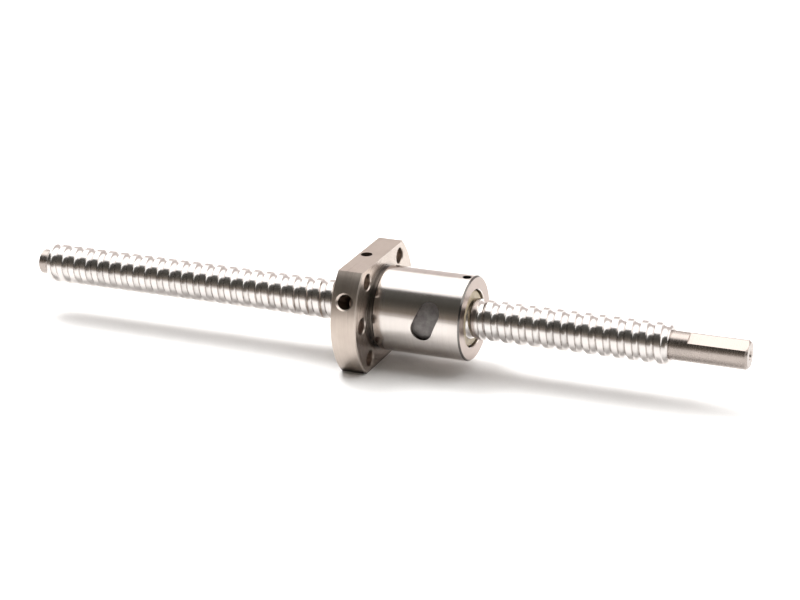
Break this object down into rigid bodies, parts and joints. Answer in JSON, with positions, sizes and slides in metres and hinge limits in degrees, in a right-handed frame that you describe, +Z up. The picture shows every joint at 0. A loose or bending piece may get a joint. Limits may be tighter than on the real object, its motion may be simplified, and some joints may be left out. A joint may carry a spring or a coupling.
{
  "type": "ball screw assembly",
  "caption": "Flanged ball screw: threaded shaft with a flatted drive journal, running in a double-flat nut with ball return inserts and nylon wipers.",
  "frame": {"origin": "on the screw's axis, in the plane of the flange's mounting face (the barrel's side)", "axes": "+X along the screw towards the drive journal and out of the mounting face, +Z up, with the flange's two flats level, facing +Z and -Z"},
  "size_m": [0.2164, 0.041, 0.03],
  "materials": {
    "screw_steel": "polished",
    "nut_steel": "ground",
    "insert_steel": "sintered, matte",
    "wiper_nylon": "satin",
    "ball_steel": "polished",
    "grub_steel": "black oxide"
  },
  "bodies": {
    "nut": {"nut_body": "nut_steel", "return_insert_1": "insert_steel", "return_insert_2": "insert_steel", "return_insert_3": "insert_steel", "wiper_front": "wiper_nylon", "wiper_rear": "wiper_nylon", "wiper_grub_front": "grub_steel", "wiper_grub_rear": "grub_steel"},
    "balls": {"ball_1_01": "ball_steel", "ball_1_02": "ball_steel", "ball_1_03": "ball_steel", "ball_1_04": "ball_steel", "ball_1_05": "ball_steel", "ball_1_06": "ball_steel", "ball_1_07": "ball_steel", "ball_1_08": "ball_steel", "ball_1_09": "ball_steel", "ball_1_10": "ball_steel", "ball_1_11": "ball_steel", "ball_1_12": "ball_steel", "ball_1_13": "ball_steel", "ball_1_14": "ball_steel", "ball_1_15": "ball_steel", "ball_1_16": "ball_steel", "ball_2_01": "ball_steel", "ball_2_02": "ball_steel", "ball_2_03": "ball_steel", "ball_2_04": "ball_steel", "ball_2_05": "ball_steel", "ball_2_06": "ball_steel", "ball_2_07": "ball_steel", "ball_2_08": "ball_steel", "ball_2_09": "ball_steel", "ball_2_10": "ball_steel", "ball_2_11": "ball_steel", "ball_2_12": "ball_steel", "ball_2_13": "ball_steel", "ball_2_14": "ball_steel", "ball_2_15": "ball_steel", "ball_2_16": "ball_steel", "ball_3_01": "ball_steel", "ball_3_02": "ball_steel", "ball_3_03": "ball_steel", "ball_3_04": "ball_steel", "ball_3_05": "ball_steel", "ball_3_06": "ball_steel", "ball_3_07": "ball_steel", "ball_3_08": "ball_steel", "ball_3_09": "ball_steel", "ball_3_10": "ball_steel", "ball_3_11": "ball_steel", "ball_3_12": "ball_steel", "ball_3_13": "ball_steel", "ball_3_14": "ball_steel", "ball_3_15": "ball_steel", "ball_3_16": "ball_steel"},
    "screw": {"screw_shaft": "screw_steel"}
  },
  "joints": [
    {"name": "screw_turn", "type": "hinge", "parent": "nut", "child": "balls", "pos_m": [0, 0, 0], "axis": [1, 0, 0], "range_deg": [-5040, 9000], "deforming": ["ball_1_01", "ball_1_02", "ball_1_03", "ball_1_04", "ball_1_05", "ball_1_06", "ball_1_07", "ball_1_08", "ball_1_09", "ball_1_10", "ball_1_11", "ball_1_12", "ball_1_13", "ball_1_14", "ball_1_15", "ball_1_16", "ball_2_01", "ball_2_02", "ball_2_03", "ball_2_04", "ball_2_05", "ball_2_06", "ball_2_07", "ball_2_08", "ball_2_09", "ball_2_10", "ball_2_11", "ball_2_12", "ball_2_13", "ball_2_14", "ball_2_15", "ball_2_16", "ball_3_01", "ball_3_02", "ball_3_03", "ball_3_04", "ball_3_05", "ball_3_06", "ball_3_07", "ball_3_08", "ball_3_09", "ball_3_10", "ball_3_11", "ball_3_12", "ball_3_13", "ball_3_14", "ball_3_15", "ball_3_16"]},
    {"name": "screw_feed", "type": "slide", "parent": "balls", "child": "screw", "axis": [1, 0, 0], "range_m": [-0.056, 0.1]}
  ],
  "couplings": [
    {"joint": "screw_turn", "follows": "screw_feed", "rad_per_m": 1570.8}
  ]
}
